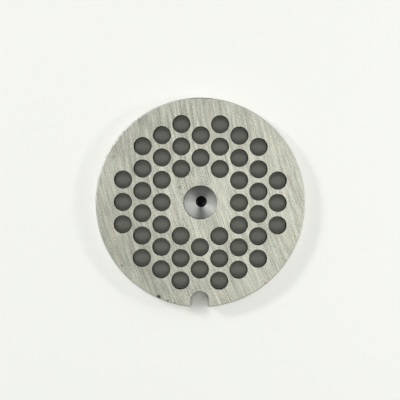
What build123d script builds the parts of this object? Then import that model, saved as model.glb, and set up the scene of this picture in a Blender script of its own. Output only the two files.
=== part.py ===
from build123d import *
from math import ceil, hypot, radians, sqrt, tan
import os

# Meat grinder plate: one round steel disc, drilled right through, in millimetres.
# The origin is the centre of the back face, which the plate lies on.
# +Z points out of the ground cutting face, and the key notch is at -Y.

# Disc
plate_diameter = 54.0
plate_thickness = 5.0
rim_chamfer = 0.25

# Grinding holes, drilled at the corners of equal triangles and left sharp to cut
hole_diameter = 4.6
hole_pitch = 5.75
least_land = 2.5  # least metal between a hole and the rim, the notch or the seat

# Key notch, which stops the plate from turning in its barrel
notch_width = 4.3
notch_depth = 3.9
notch_corner_radius = 0.3

# Centre seat, where the pointed end of the feed screw turns
drill_point_angle = 118.0
seat_diameter = 8.7
seat_wall = 0.3

# Pilot hole of the seat, which wandered off centre and stops short of the back face
pilot_diameter = 2.9
pilot_drift_x = 0.25
pilot_drift_y = 0.22
pilot_floor = 0.6  # metal left under the tip of the pilot's drill

# Places that follow from the sizes
plate_radius = plate_diameter / 2
hole_radius = hole_diameter / 2
seat_radius = seat_diameter / 2
notch_radius = notch_width / 2
notch_root_y = notch_depth - plate_radius - notch_radius
point_slope = tan(radians(drill_point_angle / 2))
pilot_wall = plate_thickness - pilot_floor - pilot_diameter / 2 / point_slope


def land_around(x, y):
    """Least metal between a grinding hole at x, y and the rim, the seat or the notch."""
    from_centre = hypot(x, y)
    from_notch_line = hypot(x, max(y - notch_root_y, 0))
    nearest_edge = min(
        plate_radius - from_centre,
        from_centre - seat_radius,
        from_notch_line - notch_radius,
    )
    return nearest_edge - hole_radius


# Two rectangular grids, one in the gaps of the other, make the triangles.
# Only the places with enough metal around them are drilled.
reach = ceil(plate_radius / hole_pitch)
full_columns = GridLocations(hole_pitch * sqrt(3), hole_pitch, 2 * reach + 1, 2 * reach + 1)
gap_columns = GridLocations(hole_pitch * sqrt(3), hole_pitch, 2 * reach, 2 * reach)
hole_spots = [
    spot
    for spot in full_columns.locations + gap_columns.locations
    if land_around(spot.position.X, spot.position.Y) >= least_land
]

# The two drilled pockets at the centre: where, how wide, and how deep before the point
centre_pockets = [
    ((0, 0), seat_diameter, seat_wall),
    ((pilot_drift_x, pilot_drift_y), pilot_diameter, pilot_wall),
]

with BuildPart() as grinder_plate:
    # Disc with its round-ended notch
    with BuildSketch() as disc:
        Circle(plate_radius)
        with Locations((0, notch_root_y)):
            Circle(notch_radius, mode=Mode.SUBTRACT)
            Rectangle(
                notch_width,
                plate_radius,
                align=(Align.CENTER, Align.MAX),
                mode=Mode.SUBTRACT,
            )
        fillet(disc.vertices().sort_by(Axis.Y)[:2], notch_corner_radius)
    extrude(amount=plate_thickness)
    chamfer(grinder_plate.faces().filter_by(Axis.Z).edges(), rim_chamfer)

    # Grinding holes
    with Locations(*hole_spots):
        Hole(hole_radius)

    # Seat and pilot, each a short wall and the cone that the drill's point leaves
    for (pocket_x, pocket_y), pocket_diameter, pocket_wall in centre_pockets:
        pocket_radius = pocket_diameter / 2
        pocket_plane = Plane(
            origin=(pocket_x, pocket_y, plate_thickness),
            x_dir=(1, 0, 0),
            z_dir=(0, -1, 0),
        )
        with BuildSketch(pocket_plane):
            with BuildLine():
                Polyline(
                    (0, 0),
                    (pocket_radius, 0),
                    (pocket_radius, -pocket_wall),
                    (0, -pocket_wall - pocket_radius / point_slope),
                    close=True,
                )
            make_face()
        revolve(axis=Axis((pocket_x, pocket_y, 0), (0, 0, 1)), mode=Mode.SUBTRACT)

os.makedirs("parts", exist_ok=True)
grinder_plate.part.label = "grinder_plate"
export_step(grinder_plate.part, "parts/grinder_plate.step")
print(f"{len(hole_spots)} grinding holes, volume {grinder_plate.part.volume:.1f} mm3")
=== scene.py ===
"""A meat grinder plate: a drilled steel disc with a ground face, a key notch and a centre seat."""

import math

import bmesh
import bpy
from mathutils import Matrix, Vector, noise


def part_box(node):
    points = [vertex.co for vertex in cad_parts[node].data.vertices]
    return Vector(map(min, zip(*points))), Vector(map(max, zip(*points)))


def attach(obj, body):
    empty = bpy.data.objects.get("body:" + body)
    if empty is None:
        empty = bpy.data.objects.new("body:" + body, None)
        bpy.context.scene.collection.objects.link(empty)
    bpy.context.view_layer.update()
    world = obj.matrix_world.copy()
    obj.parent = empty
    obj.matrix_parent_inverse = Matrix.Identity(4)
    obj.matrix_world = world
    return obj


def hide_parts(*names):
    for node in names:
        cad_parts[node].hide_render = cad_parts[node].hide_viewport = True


bl_info = {
    "name": "Meat grinder plate",
    "version": (1, 0, 0),
    "blender": (4, 5, 0),
    "location": "3D View > Sidebar > Grinder plate",
    "description": "Makes a drilled steel plate for a meat grinder, and a plain studio for it",
    "category": "Object",
}

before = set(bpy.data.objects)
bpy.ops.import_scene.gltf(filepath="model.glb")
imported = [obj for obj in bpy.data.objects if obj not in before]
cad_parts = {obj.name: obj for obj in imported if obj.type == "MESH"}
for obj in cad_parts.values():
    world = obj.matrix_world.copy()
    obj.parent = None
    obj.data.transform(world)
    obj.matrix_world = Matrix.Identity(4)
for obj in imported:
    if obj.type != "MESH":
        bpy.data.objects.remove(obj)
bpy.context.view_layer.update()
plate_low, plate_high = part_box("grinder_plate")

MM = 0.001

# Edges that turn more than this stay sharp
SHARP = math.radians(45)

# Facets round each turned, milled or drilled form
RIM_STEPS = 372
NOTCH_CORNER_STEPS = 8
NOTCH_WALL_STEPS = 6
NOTCH_ROOT_STEPS = 24
HOLE_STEPS = 64
SEAT_STEPS = 128
SEAT_RINGS = 7

# The soft lamps, two beside the plate and two long ones overhead, one on each side of the camera:
# name, width, length, power in watts, colour and place
LAMPS = (
    ("near_lamp", 0.04, 0.04, 0.10, (1.0, 1.0, 1.0), (0.174, 0.009, 0.165)),
    ("far_lamp", 0.12, 0.12, 1.25, (1.0, 1.0, 1.0), (-0.391, 0.226, 0.427)),
    ("north_lamp", 0.17, 0.37, 1.38, (1.0, 1.02, 0.92), (0.0, 0.342, 1.460)),
    ("south_lamp", 0.17, 0.37, 1.38, (1.0, 1.02, 0.92), (0.0, -0.342, 1.460)),
)

# The plate's finishes, in the order of its material slots
FACE, RIM, BORE, SEAT, PILOT = range(5)

# A rounded edge, as shares of its width inwards and upwards from the wall to the flat face
ROUNDED_EDGE = ((0.0, 0.0), (0.134, 0.5), (0.5, 0.866), (1.0, 1.0))

# Nicks and wear in the upper edge of the rim and the notch, in millimetres: x, y, reach, depth
EDGE_NICKS = (
    (-10.75, -24.55, 0.85, 0.42),
    (-8.25, -25.45, 0.45, 0.16),
    (-6.50, -25.95, 0.40, 0.12),
    (-2.70, 26.75, 0.50, 0.10),
    (16.90, -20.60, 0.40, 0.14),
)

# How far the upper edge wavers in and out all round, in millimetres
EDGE_WAVER = 0.035

# Fine scratches in the ground face, and one painted glint at the rim's edge, in millimetres: start
# x and y, end x and y, half width, shade
SCRATCHES_AND_GLINT = (
    (-2.55, 26.60, -1.60, 21.30, 0.16, 0.22),
    (3.45, 23.60, 3.60, 22.30, 0.12, -0.30),
    (18.00, -11.20, 19.50, -11.30, 0.12, -0.40),
    (-22.70, 7.20, -22.45, 6.20, 0.14, 0.25),
    (-5.00, -10.90, -5.03, -11.80, 0.10, -0.45),
    (15.60, -6.60, 16.00, -6.85, 0.14, -0.45),
    # A painted glint: a short bright line at the rim's lower right edge
    (15.75, -22.10, 16.00, -22.00, 0.12, 0.60),
    (-21.90, -11.40, -20.80, -12.20, 0.12, -0.20),
)

# Small stains on the ground face, and painted shade in the edge nicks, in millimetres: x, y,
# radius, shade
STAINS_AND_NICK_SHADE = (
    (-22.45, 11.60, 0.75, -0.20),
    (-5.30, 3.85, 0.80, -0.30),
    # The next two are painted shade in nicks of the edge
    (-10.60, -24.50, 0.85, -0.72),
    (-8.20, -25.40, 0.40, -0.45),
    (-20.10, -16.40, 0.55, -0.28),
    # The next two are painted shade in nicks of the edge
    (-6.45, -25.90, 0.30, -0.45),
    (16.85, -20.55, 0.28, -0.45),
    (-16.40, 13.20, 1.10, -0.12),
    (20.80, 8.60, 0.90, -0.12),
    (24.30, 9.10, 0.30, -0.25),
    (19.55, 3.10, 0.22, -0.30),
)

# How strongly the grinding marks and the cloudy patches lighten and darken the ground face
FINE_MARKS = 0.95
BROAD_MARKS = 0.85
GRAIN_MARKS = 0.85
LINE_MARKS = 0.3
BAND_CLOUDS = 0.38
MOTTLE_CLOUDS = 0.32

# The strip of the ground face where the marks are deepest: middle, in millimetres from the centre
DEEP_STRIP = -5.5

# How much each patch of painted shade takes off the brightness of the ground face
SHADE_PATCH_LOSS = 0.13

# Heights in millimetres: where the stains and the painted shade in the nicks fade down the rim, and
# where the seat's rougher lip starts
STAIN_AND_SHADE_FADE = (4.2, 4.6)
SEAT_LIP = (4.90, 4.94)

# The painted shade in one corner of the notch's round end, in millimetres: x and y
NOTCH_SHADE_SPOT = (1.4, -24.3)

# The soft room round the plate. Its walls from south (0) to north (1), and its height from
# straight down (0) to straight up (1), both as stops of place and level
ROOM_WALLS = (
    (0.0, 0.17),
    (0.07, 0.20),
    (0.15, 0.33),
    (0.25, 0.48),
    (0.50, 0.64),
    (0.64, 0.78),
    (0.85, 0.75),
    (0.93, 0.62),
    (0.975, 0.40),
    (1.0, 0.23),
)
ROOM_HEIGHT = ((0.0, 0.33), (0.52, 0.33), (0.63, 0.75), (0.80, 0.65))

# Levels of the room: its brightest wall, the band near the floor and the dark overhead
WALL_LEVEL = 3.1
LOW_LEVEL = 0.8
OVERHEAD_LEVEL = 0.03

# How much of the pale floor beside the plate is plain white to the camera: painted light that lifts
# the plate's shade there
WHITE_SHARE = 0.45


def length(name, description, default):
    """A length in metres that a user would change."""
    return bpy.props.FloatProperty(
        name=name,
        description=description,
        default=default,
        min=0.0,
        precision=5,
        unit="LENGTH",
        subtype="DISTANCE",
    )


def place(name, description, default):
    """A place on the plate, as x and y in metres."""
    return bpy.props.FloatVectorProperty(
        name=name,
        description=description,
        default=default,
        size=2,
        precision=5,
        unit="LENGTH",
        subtype="XYZ",
    )


def colour(name, description, default):
    """A colour that a user would change."""
    return bpy.props.FloatVectorProperty(
        name=name,
        description=description,
        default=default,
        min=0.0,
        max=1.0,
        subtype="COLOR",
    )


def share(name, description, default):
    """A number from 0 to 1."""
    return bpy.props.FloatProperty(
        name=name,
        description=description,
        default=default,
        min=0.0,
        max=1.0,
        subtype="FACTOR",
    )


class PlateSizes(bpy.types.PropertyGroup):
    """The sizes of the plate"""

    diameter: length("Diameter", "Width of the disc", 2 * plate_high.y)
    thickness: length("Thickness", "From the back to the ground face", plate_high.z - plate_low.z)
    rim_break: length("Rim break", "Width of the bevel round the rim and the notch", 0.25 * MM)
    hole_diameter: length("Hole diameter", "Width of each grinding hole", 4.6 * MM)
    hole_pitch: length("Hole pitch", "Between the centres of neighbouring holes", 5.75 * MM)
    hole_lip: length("Hole lip", "Width of the fine lip at each cutting edge", 0.05 * MM)
    least_land: length("Least land", "Least metal from a hole to the rim, notch or seat", 2.5 * MM)
    notch_width: length("Notch width", "Width of the key notch", 4.3 * MM)
    notch_depth: length("Notch depth", "From the rim to the notch's round end", 3.9 * MM)
    notch_corner: length("Notch corner", "Radius of the corners at the notch's mouth", 0.3 * MM)
    seat_diameter: length("Seat diameter", "Width of the centre seat at its mouth", 8.7 * MM)
    seat_wall: length("Seat wall", "Height of the wall above the seat's cone", 0.3 * MM)
    pilot_diameter: length("Pilot diameter", "Width of the pilot hole under the seat", 2.9 * MM)
    pilot_floor: length("Pilot floor", "Metal left under the pilot hole's tip", 0.6 * MM)
    pilot_drift: place("Pilot drift", "How far the pilot is off centre", (0.25 * MM, 0.22 * MM))
    point_angle: bpy.props.FloatProperty(
        name="Drill point",
        description="Full angle of the cone that the drill's point leaves",
        default=math.radians(118),
        min=math.radians(60),
        max=math.radians(170),
        unit="ROTATION",
        subtype="ANGLE",
    )


class SteelFinish(bpy.types.PropertyGroup):
    """The colours and the roughness of the plate's steel"""

    face_colour: colour("Ground face", "Colour of the ground face", (0.708, 0.710, 0.628))
    face_roughness: share("Face roughness", "Roughness of the ground face", 0.47)
    rim_colour: colour("Rim", "Colour of the turned rim and the bevels", (0.78, 0.78, 0.75))
    # The near-black colour of the drilled walls is painted shade that keeps the holes dark
    bore_shade_colour: colour("Drilled walls", "Colour inside the grinding holes", (0.03, 0.033, 0.026))
    seat_colour: colour("Seat", "Colour of the bright turned seat", (0.555, 0.568, 0.53))
    # Sets the pilot hole's nearly black colour
    pilot_colour: colour("Residue", "Colour of the oil in the pilot hole", (0.016, 0.016, 0.02))
    grinding_centre: place("Grinding centre", "Centre of the wheel's arcs", (160 * MM, 50 * MM))
    # The rim's edge above this height is darkened with painted shade
    dark_above: length("Dark above", "Height from which dirt darkens the rim's edge", 4.7 * MM)
    # The seat's mouth is darkened with painted shade near this radius
    seat_mouth: length("Seat mouth", "Where the oil darkens the mouth of the seat", 4.35 * MM)


class StudioSetup(bpy.types.PropertyGroup):
    """The floor, the light and the camera"""

    floor_colour: colour("Floor", "Colour of the pale floor", (0.948, 0.96, 0.915))
    floor_radius: length("Floor radius", "How far the floor reaches", 4.0)
    camera_height: length("Camera height", "From the ground face up to the camera", 0.5)
    camera_offset: place("Camera offset", "From the plate's centre", (-0.08 * MM, 0.62 * MM))
    camera_roll: bpy.props.FloatProperty(
        name="Camera roll",
        description="How far the camera is turned about its line of sight",
        default=math.radians(0.36),
        unit="ROTATION",
        subtype="ANGLE",
    )
    lens: bpy.props.FloatProperty(
        name="Lens",
        description="Focal length of the camera, in millimetres",
        default=174.8,
        min=1.0,
        unit="CAMERA",
    )
    lamp_level: bpy.props.FloatProperty(
        name="Lamp level",
        description="Makes all the soft lamps brighter or dimmer",
        default=1.0,
        min=0.0,
        max=10.0,
        subtype="FACTOR",
    )


class Field:
    """A socket of a node tree, so that shader maths is written as plain expressions."""

    def __init__(self, tree, socket=None):
        self.tree = tree
        self.socket = socket

    def node(self, kind, settings=None, sockets=None, out=0):
        """Adds a node, sets it up, fills or links its sockets, and returns one of its outputs."""
        added = self.tree.nodes.new(kind)
        for name, value in (settings or {}).items():
            if name == "stops":
                elements = added.color_ramp.elements
                while len(elements) < len(value):
                    elements.new(1.0)
                for element, (position, level) in zip(elements, value):
                    element.position = position
                    element.color = (level, level, level, 1.0)
            else:
                setattr(added, name, value)
        for name, value in (sockets or {}).items():
            if isinstance(value, Field):
                self.tree.links.new(value.socket, added.inputs[name])
            else:
                added.inputs[name].default_value = value
        return Field(self.tree, added.outputs[out] if added.outputs else None)

    def maths(self, operation, *values):
        return self.node("ShaderNodeMath", {"operation": operation}, dict(enumerate(values)))

    def __add__(self, other):
        return self.maths("ADD", self, other)

    def __sub__(self, other):
        return self.maths("SUBTRACT", self, other)

    def __rsub__(self, other):
        return self.maths("SUBTRACT", other, self)

    def __mul__(self, other):
        return self.maths("MULTIPLY", self, other)

    def __truediv__(self, other):
        return self.maths("DIVIDE", self, other)

    def __pow__(self, other):
        return self.maths("POWER", self, other)

    def __abs__(self):
        return self.maths("ABSOLUTE", self)

    __radd__ = __add__
    __rmul__ = __mul__

    def rise(self, low, high):
        """0 at low, 1 at high and a soft step between them; high may be the lesser number."""
        return self.node(
            "ShaderNodeMapRange",
            {"interpolation_type": "SMOOTHSTEP"},
            {"Value": self, "From Min": low, "From Max": high},
        )

    def ramp(self, *stops):
        """A level that follows this number, from 0 to 1, through stops of (number, level)."""
        return self.node("ShaderNodeValToRGB", {"stops": stops}, {"Fac": self})

    def mix(self, low, high):
        """The colour low where this mask is 0, and high where it is 1."""
        return self.node("ShaderNodeMix", {"data_type": "RGBA"}, {0: self, 6: low, 7: high}, 2)

    def tinted(self, shade):
        """The colour shade, brighter or darker by this factor."""
        scale = {"operation": "SCALE"}
        return self.node("ShaderNodeVectorMath", scale, {0: shade, "Scale": self})

    def split(self):
        """The three parts of a vector."""
        outputs = self.node("ShaderNodeSeparateXYZ", {}, {0: self}).socket.node.outputs
        return [Field(self.tree, part) for part in outputs]

    def joined(self, *parts):
        """A vector made of three parts."""
        return self.node("ShaderNodeCombineXYZ", {}, dict(enumerate(parts)))

    def noise(self, at, detail=2.0, roughness=0.5):
        """Soft noise about zero, mostly within a quarter of it."""
        sockets = {"Vector": at, "Scale": 1.0, "Detail": detail, "Roughness": roughness}
        return self.node("ShaderNodeTexNoise", {}, sockets) - 0.5


def hole_spots(sizes):
    """The centres of the grinding holes: a triangular pattern with enough land all round each."""
    rim = sizes.diameter / 2
    notch = sizes.notch_width / 2
    root_y = sizes.notch_depth - rim - notch
    near = sizes.hole_diameter / 2 + sizes.least_land
    reach = math.ceil(rim / sizes.hole_pitch)
    spots = []
    for column in range(-reach, reach + 1):
        for row in range(-2 * reach, 2 * reach + 1):
            x = column * sizes.hole_pitch * math.sqrt(3) / 2
            y = row * sizes.hole_pitch / 2
            clear_of_rim = rim - math.hypot(x, y) >= near
            clear_of_seat = math.hypot(x, y) - sizes.seat_diameter / 2 >= near
            clear_of_notch = math.hypot(x, max(0.0, y - root_y)) - notch >= near
            if (column + row) % 2 == 0 and clear_of_rim and clear_of_seat and clear_of_notch:
                spots.append((x, y))
    return spots


def new_parts(geometry, kind):
    return [part for part in geometry if isinstance(part, kind)]


def carry_over(body, part, finish):
    """Adds a part's faces to the body with their finish, and frees the part."""
    for face in part.faces:
        face.material_index = finish
        face.smooth = True
    for edge in part.edges:
        edge.smooth = edge.calc_face_angle(0.0) < SHARP
    carrier = bpy.data.meshes.new("carrier")
    part.to_mesh(carrier)
    part.free()
    body.from_mesh(carrier)
    bpy.data.meshes.remove(carrier)


def disc_outline(part, sizes, height):
    """Draws half of the disc's outline, from its top to the notch's round end, and mirrors it."""
    rim = sizes.diameter / 2
    notch = sizes.notch_width / 2
    corner = sizes.notch_corner
    root_y = sizes.notch_depth - rim - notch
    corner_x = notch + corner
    corner_y = -math.sqrt((rim - corner) ** 2 - corner_x**2)
    mouth = math.atan2(corner_x, -corner_y)

    def arc(verts, centre, angle, steps):
        made = bmesh.ops.spin(
            part,
            geom=verts,
            cent=(*centre, height),
            axis=(0, 0, 1),
            angle=angle,
            steps=steps,
            use_merge=False,
            use_duplicate=False,
        )
        return new_parts(made["geom_last"], bmesh.types.BMVert)

    end = [part.verts.new((0, rim, height))]
    end = arc(end, (0, 0), mouth - math.pi, RIM_STEPS)
    end = arc(end, (corner_x, corner_y), -math.pi / 2 - mouth, NOTCH_CORNER_STEPS)
    for step in range(NOTCH_WALL_STEPS):
        made = bmesh.ops.extrude_vert_indiv(part, verts=end)
        end = made["verts"]
        rise = (root_y - corner_y) / NOTCH_WALL_STEPS
        bmesh.ops.translate(part, verts=end, vec=(0, rise, 0))
    arc(end, (0, root_y), math.pi / 2, NOTCH_ROOT_STEPS)
    bmesh.ops.mirror(part, geom=part.verts[:] + part.edges[:], axis="X", merge_dist=MM / 1000)


def into_metal(sizes, spot):
    """The level direction from a point of the outline into the plate."""
    notch = sizes.notch_width / 2
    root_y = sizes.notch_depth - sizes.diameter / 2 - notch
    from_notch = Vector((spot.x, spot.y - min(spot.y, root_y)))
    if from_notch.length < notch + sizes.notch_corner + sizes.rim_break:
        return from_notch.normalized()
    return -spot.xy.normalized()


def wear_edge(part, sizes):
    """Nicks the upper edge, which is left a little uneven all round, as hand work leaves it."""
    foot = sizes.thickness - sizes.rim_break
    for vert in part.verts:
        rise = (vert.co.z - foot) / sizes.rim_break
        if rise < -MM / 1000:
            continue
        direction = into_metal(sizes, vert.co)
        inwards = EDGE_WAVER * MM * noise.noise(vert.co / MM)
        sunk = 0.0
        for x, y, reach, depth in EDGE_NICKS:
            away = math.hypot(vert.co.x / MM - x, vert.co.y / MM - y) / reach
            if away < 1:
                cut = depth * MM * (1 - away**2) * (1 + 0.5 * noise.noise(vert.co * 4 / MM))
                inwards += cut
                sunk += cut * (1 - rise)
        vert.co.xy += direction * inwards * rise
        vert.co.z -= 0.9 * sunk


def make_rim(sizes):
    """The disc's wall with the key notch, and a rounded edge above and below."""
    part = bmesh.new()
    width = sizes.rim_break
    disc_outline(part, sizes, width)
    bmesh.ops.edgeloop_fill(part, edges=part.edges[:])
    made = bmesh.ops.extrude_face_region(part, geom=part.faces[:])
    wall = sizes.thickness - 2 * width
    bmesh.ops.translate(part, verts=new_parts(made["geom"], bmesh.types.BMVert), vec=(0, 0, wall))
    bmesh.ops.recalc_face_normals(part, faces=part.faces[:])
    caps = [face for face in part.faces if abs(face.normal.z) > 0.5]
    for (inner, lower), (outer, upper) in zip(ROUNDED_EDGE, ROUNDED_EDGE[1:]):
        bmesh.ops.inset_region(
            part,
            faces=caps,
            use_boundary=True,
            use_even_offset=True,
            thickness=(outer - inner) * width,
            depth=(upper - lower) * width,
        )
    bmesh.ops.delete(part, geom=caps, context="FACES_ONLY")
    wear_edge(part, sizes)
    return part


def make_hole(sizes):
    """The wall of one grinding hole at the origin, spun from its profile with a lip at each end."""
    part = bmesh.new()
    radius = sizes.hole_diameter / 2
    lip = sizes.hole_lip
    top = sizes.thickness
    profile = [(radius + lip, top), (radius + lip * 0.3, top - lip * 0.3), (radius, top - lip)]
    profile += [(radius, lip), (radius + lip * 0.3, lip * 0.3), (radius + lip, 0)]
    verts = [part.verts.new((across, 0, height)) for across, height in profile]
    edges = [part.edges.new(pair) for pair in zip(verts, verts[1:])]
    bmesh.ops.spin(
        part,
        geom=verts + edges,
        cent=(0, 0, 0),
        axis=(0, 0, 1),
        angle=2 * math.pi,
        steps=HOLE_STEPS,
        use_merge=True,
        use_duplicate=False,
    )
    return part


def make_seat(sizes):
    """The centre seat: a lip, a short wall, the cone to the pilot's edge, and the blind pilot."""
    part = bmesh.new()
    top = sizes.thickness
    lip = sizes.hole_lip
    seat = sizes.seat_diameter / 2
    pilot = sizes.pilot_diameter / 2
    slope = math.tan(sizes.point_angle / 2)
    drift = Vector(sizes.pilot_drift)
    middle = Vector((0.0, 0.0))
    pilot_wall = sizes.pilot_floor + pilot / slope

    def cone(co):
        return top - sizes.seat_wall - (seat - co.xy.length) / slope

    # Each ring: centre, radius, height or None for a place on the cone
    rings = [
        (middle, seat + lip * 0.3, top - lip * 0.3),
        (middle, seat, top - lip),
        (middle, seat, top - sizes.seat_wall),
    ]
    for ring in range(1, SEAT_RINGS + 1):
        down = ring / SEAT_RINGS
        rings.append((drift * down, seat + (pilot + lip - seat) * down, None))
    rings.append((drift, pilot, None))
    rings.append((drift, pilot, pilot_wall))

    bmesh.ops.create_circle(
        part,
        segments=SEAT_STEPS,
        radius=seat + lip,
        matrix=Matrix.Translation((0, 0, top)),
    )
    edges = part.edges[:]
    centre = middle
    radius = seat + lip
    for next_centre, next_radius, height in rings:
        made = bmesh.ops.extrude_edge_only(part, edges=edges)["geom"]
        verts = new_parts(made, bmesh.types.BMVert)
        chosen = set(verts)
        edges = [e for e in new_parts(made, bmesh.types.BMEdge) if chosen.issuperset(e.verts)]
        bmesh.ops.scale(
            part,
            verts=verts,
            vec=(next_radius / radius, next_radius / radius, 1),
            space=Matrix.Translation((-centre.x, -centre.y, 0)),
        )
        bmesh.ops.translate(part, verts=verts, vec=(*(next_centre - centre), 0))
        for vert in verts:
            vert.co.z = cone(vert.co) if height is None else height
        centre = next_centre
        radius = next_radius
    made = bmesh.ops.extrude_edge_only(part, edges=edges)["geom"]
    tip = (drift.x, drift.y, sizes.pilot_floor)
    bmesh.ops.pointmerge(part, verts=new_parts(made, bmesh.types.BMVert), merge_co=tip)
    return part


def fill_flat(body, height):
    """Fills the flat face at a height, from the rim's edge to the edges of the holes."""
    close = MM / 1000
    edges = [
        edge
        for edge in body.edges
        if edge.is_boundary and all(abs(vert.co.z - height) < close for vert in edge.verts)
    ]
    made = bmesh.ops.triangle_fill(body, edges=edges, use_beauty=True, normal=(0, 0, 1))
    for face in new_parts(made["geom"], bmesh.types.BMFace):
        face.material_index = FACE
        face.smooth = False


def new_finish(name):
    """A material with no nodes yet, a Field to add them with, and x, y and z in millimetres."""
    material = bpy.data.materials.new(name)
    material.use_nodes = True
    material.node_tree.nodes.clear()
    start = Field(material.node_tree)
    metres = start.node("ShaderNodeTexCoord", out="Object")
    return material, start, [part / MM for part in metres.split()]


def end_finish(start, **sockets):
    """Ends a material with its shader, which is metal unless the sockets say otherwise."""
    named = {name.replace("_", " "): value for name, value in sockets.items()}
    shader = start.node("ShaderNodeBsdfPrincipled", {}, {"Metallic": 1.0, **named})
    start.node("ShaderNodeOutputMaterial", {}, {"Surface": shader})


def bump(start, height):
    """The normal of a surface whose height is given in millimetres."""
    return start.node("ShaderNodeBump", {}, {"Height": height, "Distance": MM, "Strength": 1.0})


def stained_and_nick_shaded(tone, x, y, z):
    """The tone with the small dark stains in it, and the painted shade in the edge nicks, which
    reach a little over the upper edge.
    """
    upper = z.rise(*STAIN_AND_SHADE_FADE)
    for x0, y0, radius, shade in STAINS_AND_NICK_SHADE:
        away = ((x - x0) * (x - x0) + (y - y0) * (y - y0)) ** 0.5
        tone = tone + shade * upper * away.rise(radius, 0.3 * radius)
    return tone


def ground_face(finish):
    """The face that the grinding wheel crossed in wide arcs."""
    material, start, (x, y, z) = new_finish("ground_face")
    centre_x, centre_y = (value / MM for value in finish.grinding_centre)
    from_x = centre_x - x
    from_y = centre_y - y
    across = (from_x * from_x + from_y * from_y) ** 0.5
    along = start.maths("ARCTAN2", from_y, from_x) * math.hypot(centre_x, centre_y)

    def strokes(width, reach, seed, detail=2.0):
        """Noise drawn out along the wheel's arcs; width and reach of a stroke in millimetres."""
        return start.noise(start.joined(across / width, along / reach, seed), detail)

    fine = strokes(0.30, 5.0, 1.0)
    lines = strokes(0.26, 16.0, 2.0)
    broad = strokes(0.90, 18.0, 3.0)
    bands = strokes(4.0, 60.0, 4.0, 1.0)
    grain = start.noise(start.joined(x / 0.36, y / 0.36, 5.0), 1.0)
    mottle = start.noise(start.joined(x / 5.0, y / 5.0, 6.0), 2.0)
    marks = FINE_MARKS * fine + BROAD_MARKS * broad + GRAIN_MARKS * grain
    marks = marks + LINE_MARKS * lines.rise(0.08, 0.24) - LINE_MARKS * lines.rise(-0.08, -0.24)
    deeper = 0.90 + 0.32 * abs(x - DEEP_STRIP).rise(8.0, 2.0)
    tone = 1.0 + marks * deeper + BAND_CLOUDS * bands + MOTTLE_CLOUDS * mottle

    # Three patches of painted shade with cloudy borders: at the left, at the far edge and at the
    # near left
    border = 8.0 * mottle
    shade_patches = (x + border).rise(14.0, -26.0)
    shade_patches = shade_patches + (y + border).rise(6.0, 24.0)
    shade_patches = shade_patches + (-0.85 * y - 0.5 * x + border).rise(4.0, 24.0)
    tone = tone * (1.0 - SHADE_PATCH_LOSS * shade_patches)
    # Lighter and darker scratches, and the painted glint
    for x0, y0, x1, y1, half_width, shade in SCRATCHES_AND_GLINT:
        run = math.hypot(x1 - x0, y1 - y0)
        ux, uy = (x1 - x0) / run, (y1 - y0) / run
        ahead = (x - x0) * ux + (y - y0) * uy
        aside = abs((y - y0) * ux - (x - x0) * uy)
        beyond = abs(ahead - run / 2) - run / 2
        tone = tone + shade * aside.rise(half_width, 0.0) * beyond.rise(half_width, -half_width)
    tone = stained_and_nick_shaded(tone, x, y, z)
    red, green, blue = finish.face_colour
    steel = (0.5 + 2.0 * strokes(1.3, 8.0, 7.0)).mix(
        (red * 1.03, green * 0.985, blue * 0.985, 1.0),
        (red * 0.97, green * 1.015, blue * 1.015, 1.0),
    )
    end_finish(
        start,
        Base_Color=tone.tinted(steel),
        Roughness=finish.face_roughness + 0.25 * broad - 0.2 * fine,
        Normal=bump(start, 0.012 * fine + 0.010 * broad + 0.004 * grain),
    )
    return material


def turned_rim(finish):
    """The rim and the broken edges, turned and then dulled by handling, with painted shade along
    the upper edge.
    """
    material, start, (x, y, z) = new_finish("turned_rim")
    grooves = start.noise(start.joined(x / 3.0, y / 3.0, z / 0.12), 2.0)
    grain = start.noise(start.joined(x / 0.35, y / 0.35, z / 0.35), 2.0)
    tone = 1.0 + 0.35 * grooves + 0.45 * grain

    # Painted shade darkens the upper edge, most of all round the notch and in one of its corners
    dark_above = finish.dark_above / MM
    edge = z.rise(dark_above, dark_above + 0.2)
    in_notch = abs(x).rise(3.2, 2.6) * y.rise(-26.9, -26.2)
    shade_x, shade_y = NOTCH_SHADE_SPOT
    beside_x = x - shade_x
    beside_y = y - shade_y
    corner_shade = (beside_x * beside_x + beside_y * beside_y).rise(1.6, 0.4)
    tone = tone * (1.0 - (0.25 + 0.35 * in_notch) * edge) * (1.0 - 0.6 * corner_shade)
    end_finish(
        start,
        Base_Color=stained_and_nick_shaded(tone, x, y, z).tinted((*finish.rim_colour,)),
        Roughness=0.55 + 0.3 * grain,
        Normal=bump(start, 0.010 * grooves + 0.006 * grain),
    )
    return material


def drilled_wall(finish):
    """The walls of the grinding holes, with the drill's fine rings and oil in them, coloured near
    black without gloss: painted shade that keeps the holes dark.
    """
    material, start, (x, y, z) = new_finish("drilled_wall")
    rings = start.noise(start.joined(x / 2.5, y / 2.5, z / 0.10), 1.0)
    oil = start.noise(start.joined(x / 1.2, y / 1.2, z / 1.6), 2.0)
    tone = 1.0 + 0.4 * rings + 0.5 * oil
    end_finish(
        start,
        Base_Color=tone.tinted((*finish.bore_shade_colour,)),
        Metallic=0.0,
        Roughness=0.7 + 0.3 * oil,
        Specular_IOR_Level=0.0,
        Normal=bump(start, 0.02 * rings),
    )
    return material


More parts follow.
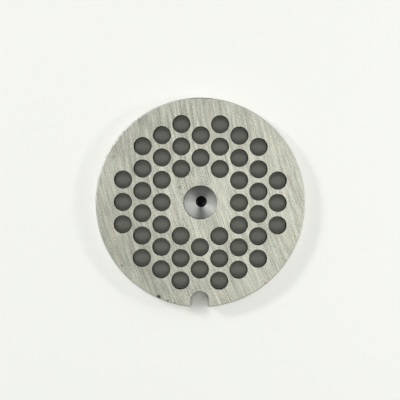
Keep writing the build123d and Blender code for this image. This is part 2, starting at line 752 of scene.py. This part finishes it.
def turned_seat(finish):
    """The bright seat, with the fine rings that the point of the tool left."""
    material, start, (x, y, z) = new_finish("turned_seat")
    away = (x * x + y * y) ** 0.5
    rings = start.noise(start.joined(away / 0.07, 0.0, 7.0), 2.0)
    chatter = start.noise(start.joined(x / 0.8, y / 0.8, z / 0.8), 2.0)
    tone = 1.0 + 0.16 * rings + 0.10 * chatter

    # Painted shade darkens the cone towards the mouth, most of all at its far side, and more
    # painted shade darkens the mouth's near left
    shaded = away.rise(2.6, 4.2) * (0.4 + 0.6 * y.rise(-1.0, 3.0))
    edge = finish.seat_mouth / MM
    mouth_shade = away.rise(edge - 0.30, edge - 0.10)
    mouth_shade = mouth_shade * (0.12 + 0.45 * (-0.9 * x - 0.42 * y).rise(0.0, 2.0))
    tone = tone * (1.0 - mouth_shade) * (1.0 - 0.33 * shaded)
    end_finish(
        start,
        Base_Color=tone.tinted((*finish.seat_colour,)),
        Roughness=0.15 + 0.05 * chatter + 0.5 * z.rise(*SEAT_LIP),
        Normal=bump(start, 0.0014 * rings),
    )
    return material


def dark_pilot(finish):
    """The pilot hole, nearly black."""
    material, start, (x, y, z) = new_finish("dark_pilot")
    film = start.noise(start.joined(x / 0.5, y / 0.5, z / 0.5), 2.0)
    end_finish(
        start,
        Base_Color=(1.0 + film).tinted((*finish.pilot_colour,)),
        Roughness=0.5 + 0.4 * film,
        Normal=bump(start, 0.02 * film),
    )
    return material


class OBJECT_OT_add_grinder_plate(bpy.types.Operator):
    """Adds the drilled steel plate"""

    bl_idname = "object.add_grinder_plate"
    bl_label = "Grinder plate"

    def execute(self, context):
        sizes = context.scene.plate_sizes
        finish = context.scene.steel_finish
        body = bmesh.new()
        carry_over(body, make_rim(sizes), RIM)
        for x, y in hole_spots(sizes):
            hole = make_hole(sizes)
            bmesh.ops.translate(hole, verts=hole.verts[:], vec=(x, y, 0))
            carry_over(body, hole, BORE)
        carry_over(body, make_seat(sizes), SEAT)
        fill_flat(body, sizes.thickness)
        fill_flat(body, 0.0)
        pilot_x, pilot_y = sizes.pilot_drift
        for face in body.faces:
            centre = face.calc_center_median()
            away = math.hypot(centre.x - pilot_x, centre.y - pilot_y)
            if face.material_index == SEAT and away < sizes.pilot_diameter / 2:
                face.material_index = PILOT
        bmesh.ops.recalc_face_normals(body, faces=body.faces[:])
        mesh = bpy.data.meshes.new("ground_plate")
        body.to_mesh(mesh)
        body.free()
        for make in (ground_face, turned_rim, drilled_wall, turned_seat, dark_pilot):
            mesh.materials.append(make(finish))
        plate = bpy.data.objects.new("ground_plate", mesh)
        context.scene.collection.objects.link(plate)
        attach(plate, "root")
        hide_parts("grinder_plate")
        return {"FINISHED"}


def studio_light(scene):
    """A soft room: bright at both sides, dim at the near and far walls, and dark overhead."""
    world = bpy.data.worlds.new("soft_room")
    world.use_nodes = True
    world.node_tree.nodes.clear()
    start = Field(world.node_tree)
    x, y, up = start.node("ShaderNodeTexCoord", out="Generated").split()

    # How far north each direction points, with the room's axis bent a little to one side
    level = (x * x + y * y + 1e-6) ** 0.5
    lean = x + 0.08 * level
    north = y / (lean * lean + y * y) ** 0.5

    room = WALL_LEVEL * (north * 0.5 + 0.5).ramp(*ROOM_WALLS) * up.ramp(*ROOM_HEIGHT)
    room = room + (LOW_LEVEL - room) * up.rise(0.30, 0.12)
    room = room + (OVERHEAD_LEVEL - room) * up.rise(0.72, 0.80)
    glow = start.node("ShaderNodeBackground", {}, {"Color": room})
    start.node("ShaderNodeOutputWorld", {}, {"Surface": glow})
    scene.world = world


class OBJECT_OT_add_plate_studio(bpy.types.Operator):
    """Adds the pale floor, the soft light and the camera"""

    bl_idname = "object.add_plate_studio"
    bl_label = "Studio"

    def execute(self, context):
        scene = context.scene
        setup = scene.studio_setup
        top = scene.plate_sizes.thickness
        rim = scene.plate_sizes.diameter / 2 / MM
        notch = scene.plate_sizes.notch_width / 2 / MM

        shape = bmesh.new()
        bmesh.ops.create_circle(shape, cap_ends=True, segments=96, radius=setup.floor_radius)
        mesh = bpy.data.meshes.new("pale_floor")
        shape.to_mesh(mesh)
        shape.free()
        floor = bpy.data.objects.new("pale_floor", mesh)
        scene.collection.objects.link(floor)
        material, start, (x, y, z) = new_finish("pale_board")
        fibre = start.noise(start.joined(x / 0.6, y / 0.6, 3.0), 3.0)
        paper = (1.0 + 0.02 * fibre).tinted((*setup.floor_colour,))
        board = start.node("ShaderNodeBsdfDiffuse", {}, {"Color": paper})
        glow = start.node("ShaderNodeEmission", {}, {"Color": paper, "Strength": 1.0})

        # White to the camera beside the plate, less so in the notch and at its mouth: painted light
        # that lifts the plate's shade on the floor, and a painted fan of shade at the notch's mouth
        away = (x * x + y * y) ** 0.5
        beside = away.rise(rim, rim + 0.6)
        at_notch = abs(x).rise(notch + 1.25, notch - 0.35)
        at_notch = at_notch * y.rise(5.0 - rim, 3.0 - rim) * y.rise(-rim - 2.4, -rim - 1.2)
        beside = beside + (away.rise(rim - 2.4, rim + 4.0) - beside) * at_notch
        seen = start.node("ShaderNodeLightPath", out="Is Camera Ray")
        mirrored = start.node("ShaderNodeLightPath", out="Is Glossy Ray")
        white = WHITE_SHARE * beside * seen.maths("MAXIMUM", seen, mirrored)
        mixed = start.node("ShaderNodeMixShader", {}, {0: white, 1: board, 2: glow})
        start.node("ShaderNodeOutputMaterial", {}, {"Surface": mixed})
        mesh.materials.append(material)

        studio_light(scene)

        for name, width, reach, power, tint, spot in LAMPS:
            lamp = bpy.data.lights.new(name, "AREA")
            lamp.color = tint
            lamp.shape = "ELLIPSE"
            lamp.size = width
            lamp.size_y = reach
            lamp.energy = power * setup.lamp_level
            holder = bpy.data.objects.new(name, lamp)
            scene.collection.objects.link(holder)
            holder.location = spot
            holder.rotation_euler = (-holder.location).to_track_quat("-Z", "Y").to_euler()

        lens = bpy.data.cameras.new("camera")
        lens.lens = setup.lens
        camera = bpy.data.objects.new("camera", lens)
        scene.collection.objects.link(camera)
        camera.location = (*setup.camera_offset, top + setup.camera_height)
        camera.rotation_euler.z = setup.camera_roll
        scene.camera = camera
        scene.view_settings.view_transform = "Standard"
        return {"FINISHED"}


class VIEW3D_PT_grinder_plate(bpy.types.Panel):
    """Lists the plate's sizes, finishes and studio"""

    bl_idname = "VIEW3D_PT_grinder_plate"
    bl_label = "Grinder plate"
    bl_space_type = "VIEW_3D"
    bl_region_type = "UI"
    bl_category = "Grinder plate"

    def draw(self, context):
        scene = context.scene
        for operator in (OBJECT_OT_add_grinder_plate, OBJECT_OT_add_plate_studio):
            self.layout.operator(operator.bl_idname)
        for group in (scene.plate_sizes, scene.steel_finish, scene.studio_setup):
            box = self.layout.box()
            for name in group.__annotations__:
                box.prop(group, name)


CLASSES = (
    PlateSizes,
    SteelFinish,
    StudioSetup,
    OBJECT_OT_add_grinder_plate,
    OBJECT_OT_add_plate_studio,
    VIEW3D_PT_grinder_plate,
)


def register():
    for listed in CLASSES:
        bpy.utils.register_class(listed)
    bpy.types.Scene.plate_sizes = bpy.props.PointerProperty(type=PlateSizes)
    bpy.types.Scene.steel_finish = bpy.props.PointerProperty(type=SteelFinish)
    bpy.types.Scene.studio_setup = bpy.props.PointerProperty(type=StudioSetup)


def unregister():
    del bpy.types.Scene.studio_setup
    del bpy.types.Scene.steel_finish
    del bpy.types.Scene.plate_sizes
    for listed in reversed(CLASSES):
        bpy.utils.unregister_class(listed)


def main():
    register()
    bpy.ops.object.add_grinder_plate()
    bpy.ops.object.add_plate_studio()


if __name__ == "__main__":
    main()
